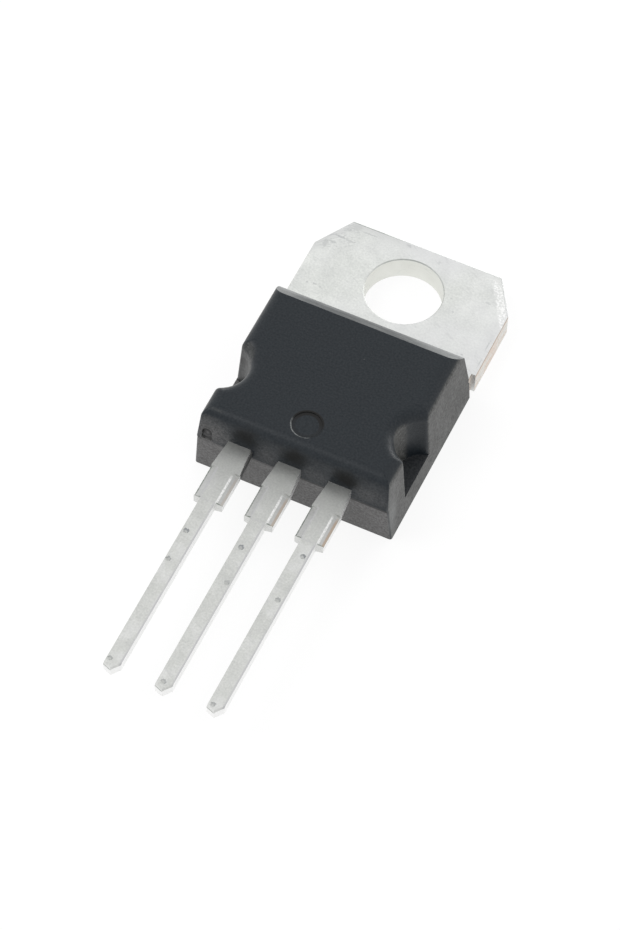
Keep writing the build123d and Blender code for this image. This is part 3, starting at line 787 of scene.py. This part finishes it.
def mixShaders(tree, factor, first, second):
    node = addNode(tree, "ShaderNodeMixShader")
    for socket, value in zip(node.inputs, (factor, first, second)):
        feed(tree, socket, value)
    return node.outputs[0]


def directRays(tree):
    # camera, glossy and transmission rays see the white surround itself
    rays = addNode(tree, "ShaderNodeLightPath")
    total = calc(tree, "ADD", rays.outputs["Is Camera Ray"], rays.outputs["Is Glossy Ray"])
    return calc(tree, "ADD", total, rays.outputs["Is Transmission Ray"], clamp=True)


# floor, a hair below the part so that the two don't share a plane
floorSet = {
    "size": 4.0, "drop": 0.00002,
    "colour": (0.86, 0.86, 0.86, 1), "shadeColour": (0.18, 0.18, 0.18, 1), "glow": 0.86,
}


def makeFloor(values):
    half = values["size"] / 2
    corners = [(-half, -half, 0), (half, -half, 0), (half, half, 0), (-half, half, 0)]
    mesh = bpy.data.meshes.new("floor")
    mesh.from_pydata(corners, [], [(0, 1, 2, 3)])
    floor = bpy.data.objects.new("floor", mesh)
    floor.location = (0, 0, cadBox[0][2] - values["drop"])
    scene.collection.objects.link(floor)
    material = bpy.data.materials.new("paleFloor")
    material.use_nodes = True
    tree = material.node_tree
    tree.nodes.clear()
    plain, shaded = (addNode(tree, "ShaderNodeBsdfDiffuse") for _ in range(2))
    plain.inputs["Color"].default_value = values["colour"]
    shaded.inputs["Color"].default_value = values["shadeColour"]
    glow = addNode(tree, "ShaderNodeEmission")
    glow.inputs["Strength"].default_value = values["glow"]
    seen = addNode(tree, "ShaderNodeAddShader")
    feed(tree, seen.inputs[0], shaded.outputs[0])
    feed(tree, seen.inputs[1], glow.outputs[0])
    fromAbove = mixShaders(tree, directRays(tree), plain.outputs[0], seen.outputs[0])
    # clear from below, so that the object's back can be seen
    clear = addNode(tree, "ShaderNodeBsdfTransparent").outputs[0]
    below = addNode(tree, "ShaderNodeNewGeometry").outputs["Backfacing"]
    surface = addNode(tree, "ShaderNodeOutputMaterial").inputs["Surface"]
    feed(tree, surface, mixShaders(tree, below, fromAbove, clear))
    mesh.materials.append(material)


# surround: fill is the light it gives, seen is what the camera and reflections show
worldSet = {"fill": 0.72, "seen": 1.0, "colour": (1, 1, 1, 1)}


def makeWorld(values):
    world = bpy.data.worlds.new("studio")
    world.use_nodes = True
    scene.world = world
    tree = world.node_tree
    tree.nodes.clear()
    shaders = []
    for name in ("fill", "seen"):
        shader = addNode(tree, "ShaderNodeBackground")
        shader.inputs["Strength"].default_value = values[name]
        shader.inputs["Color"].default_value = values["colour"]
        shaders.append(shader.outputs[0])
    surface = addNode(tree, "ShaderNodeOutputWorld").inputs["Surface"]
    feed(tree, surface, mixShaders(tree, directRays(tree), *shaders))


lampSet = {
    "overhead": {
        "at": (-0.26, -0.12, 0.42), "aim": (0, -0.01, 0), "size": (0.26, 0.26), "radiance": 2.6,
    },
    "backStrip": {
        "at": (0.02, 0.27, 0.035), "aim": (0, -0.004, 0.004), "size": (0.32, 0.09), "radiance": 3.6,
    },
}


def makeLamp(name, values):
    light = bpy.data.lights.new(name, "AREA")
    light.shape = "RECTANGLE"
    light.size, light.size_y = values["size"]
    light.energy = values["radiance"] * pi * light.size * light.size_y  # W for that radiance
    lamp = bpy.data.objects.new(name, light)
    lamp.location = values["at"]
    lamp.rotation_euler = (Vector(values["aim"]) - Vector(values["at"])).to_track_quat("-Z", "Y").to_euler()
    lamp.visible_camera = False
    scene.collection.objects.link(lamp)


makeFloor(floorSet)
makeWorld(worldSet)
for lampName, lampValues in lampSet.items():
    makeLamp(lampName, lampValues)
print("floor, surround and lamps placed")

# camera, looking at aim from distance away; angles in degrees, lengths in metres, lens and sensor in mm
cameraSet = {
    "aim": (0.0002308, -0.0110533, 0.0012769), "azimuth": -66.7235, "elevation": 55.6666, "roll": 2.2338,
    "distance": 0.182917, "lens": 152.925, "sensor": 36.0, "clip": (0.005, 10.0),
}


def makeCamera(values):
    azimuth, elevation, roll = (radians(values[name]) for name in ("azimuth", "elevation", "roll"))
    back = Vector((cos(elevation) * cos(azimuth), cos(elevation) * sin(azimuth), sin(elevation)))
    level = Vector((-sin(azimuth), cos(azimuth), 0))
    upright = back.cross(level)
    right = cos(roll) * level + sin(roll) * upright
    up = cos(roll) * upright - sin(roll) * level
    data = bpy.data.cameras.new("camera")
    data.lens, data.sensor_width = values["lens"], values["sensor"]
    data.clip_start, data.clip_end = values["clip"]
    camera = bpy.data.objects.new("camera", data)
    turn = Matrix((right, up, back)).transposed().to_4x4()
    camera.matrix_world = Matrix.Translation(Vector(values["aim"]) + values["distance"] * back) @ turn
    scene.collection.objects.link(camera)
    scene.camera = camera


makeCamera(cameraSet)
scene.view_settings.view_transform = "Standard"
print("camera set")
